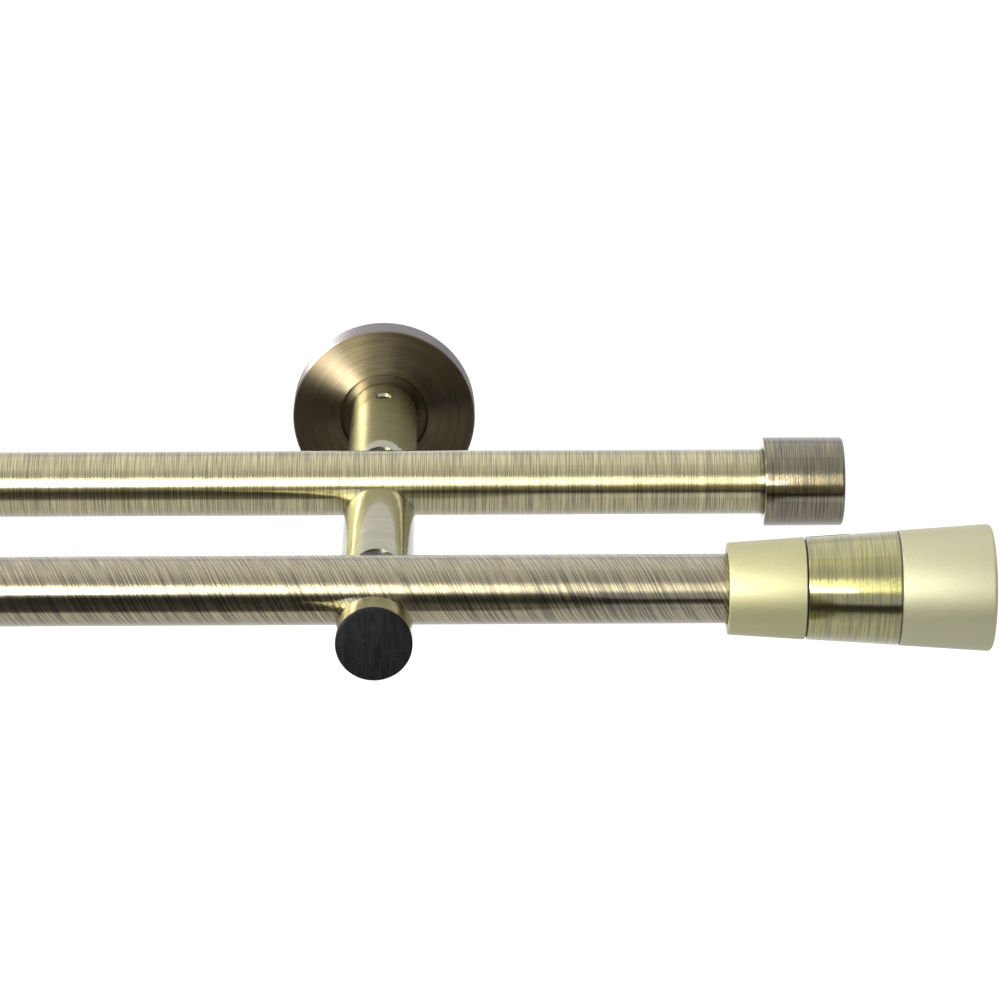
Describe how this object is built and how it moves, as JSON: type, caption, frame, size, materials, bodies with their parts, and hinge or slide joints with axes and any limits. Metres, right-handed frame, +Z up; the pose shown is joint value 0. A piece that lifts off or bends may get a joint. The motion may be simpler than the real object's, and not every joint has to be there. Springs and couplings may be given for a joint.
{
  "type": "double curtain pole",
  "caption": "Round rear and front curtain poles in brushed antique brass on cradle-cut wall arms, with plain rear caps and flared banded finials.",
  "frame": {"origin": "on the wall plane, midway between the two brackets and level with the axes of their arms: the centre of the wall screw hole pattern", "axes": "+X along the poles, +Y into the wall, +Z up"},
  "size_m": [0.7132, 0.213, 0.06],
  "materials": {
    "plate_steel": "bright zinc plated steel, satin",
    "zinc_screw": "grey zinc plated",
    "cast_zinc": "die-cast zinc, plain",
    "turned_brass": "antique brass, turned and lacquered",
    "polished_brass": "antique brass, polished and lacquered",
    "black_plastic": "matt black moulding",
    "rear_brushed_brass": "antique brass, brushed round the tube, lacquered",
    "front_brushed_brass": "antique brass, brushed on a slant, lacquered",
    "satin_brass": "pale brass, satin",
    "dark_band_brass": "antique brass, brushed and glossy lacquered",
    "cap_brass": "antique brass, brushed, lacquered",
    "pale_plastic": "natural plastic moulding"
  },
  "bodies": {
    "root": {"right_wall_plate": "plate_steel", "right_spigot": "plate_steel", "right_spigot_screw": "zinc_screw", "right_rose": "turned_brass", "right_arm": "polished_brass", "right_arm_grub_screw": "zinc_screw", "right_rear_block": "cast_zinc", "right_front_block": "cast_zinc", "right_rear_block_screw": "zinc_screw", "right_front_block_screw": "zinc_screw", "right_rear_pole_grub_screw": "zinc_screw", "right_front_pole_grub_screw": "zinc_screw", "right_end_plug": "black_plastic", "left_wall_plate": "plate_steel", "left_spigot": "plate_steel", "left_spigot_screw": "zinc_screw", "left_rose": "turned_brass", "left_arm": "polished_brass", "left_arm_grub_screw": "zinc_screw", "left_rear_block": "cast_zinc", "left_front_block": "cast_zinc", "left_rear_block_screw": "zinc_screw", "left_front_block_screw": "zinc_screw", "left_rear_pole_grub_screw": "zinc_screw", "left_front_pole_grub_screw": "zinc_screw", "left_end_plug": "black_plastic", "rear_pole": "rear_brushed_brass", "front_pole": "front_brushed_brass", "right_finial_core": "plate_steel", "right_narrow_band": "satin_brass", "right_middle_band": "dark_band_brass", "right_wide_band": "satin_brass", "right_finial_grub_screw": "zinc_screw", "left_finial_core": "plate_steel", "left_narrow_band": "satin_brass", "left_middle_band": "dark_band_brass", "left_wide_band": "satin_brass", "left_finial_grub_screw": "zinc_screw", "right_cap": "cap_brass", "right_cap_insert": "pale_plastic", "left_cap": "cap_brass", "left_cap_insert": "pale_plastic"}
  },
  "joints": []
}
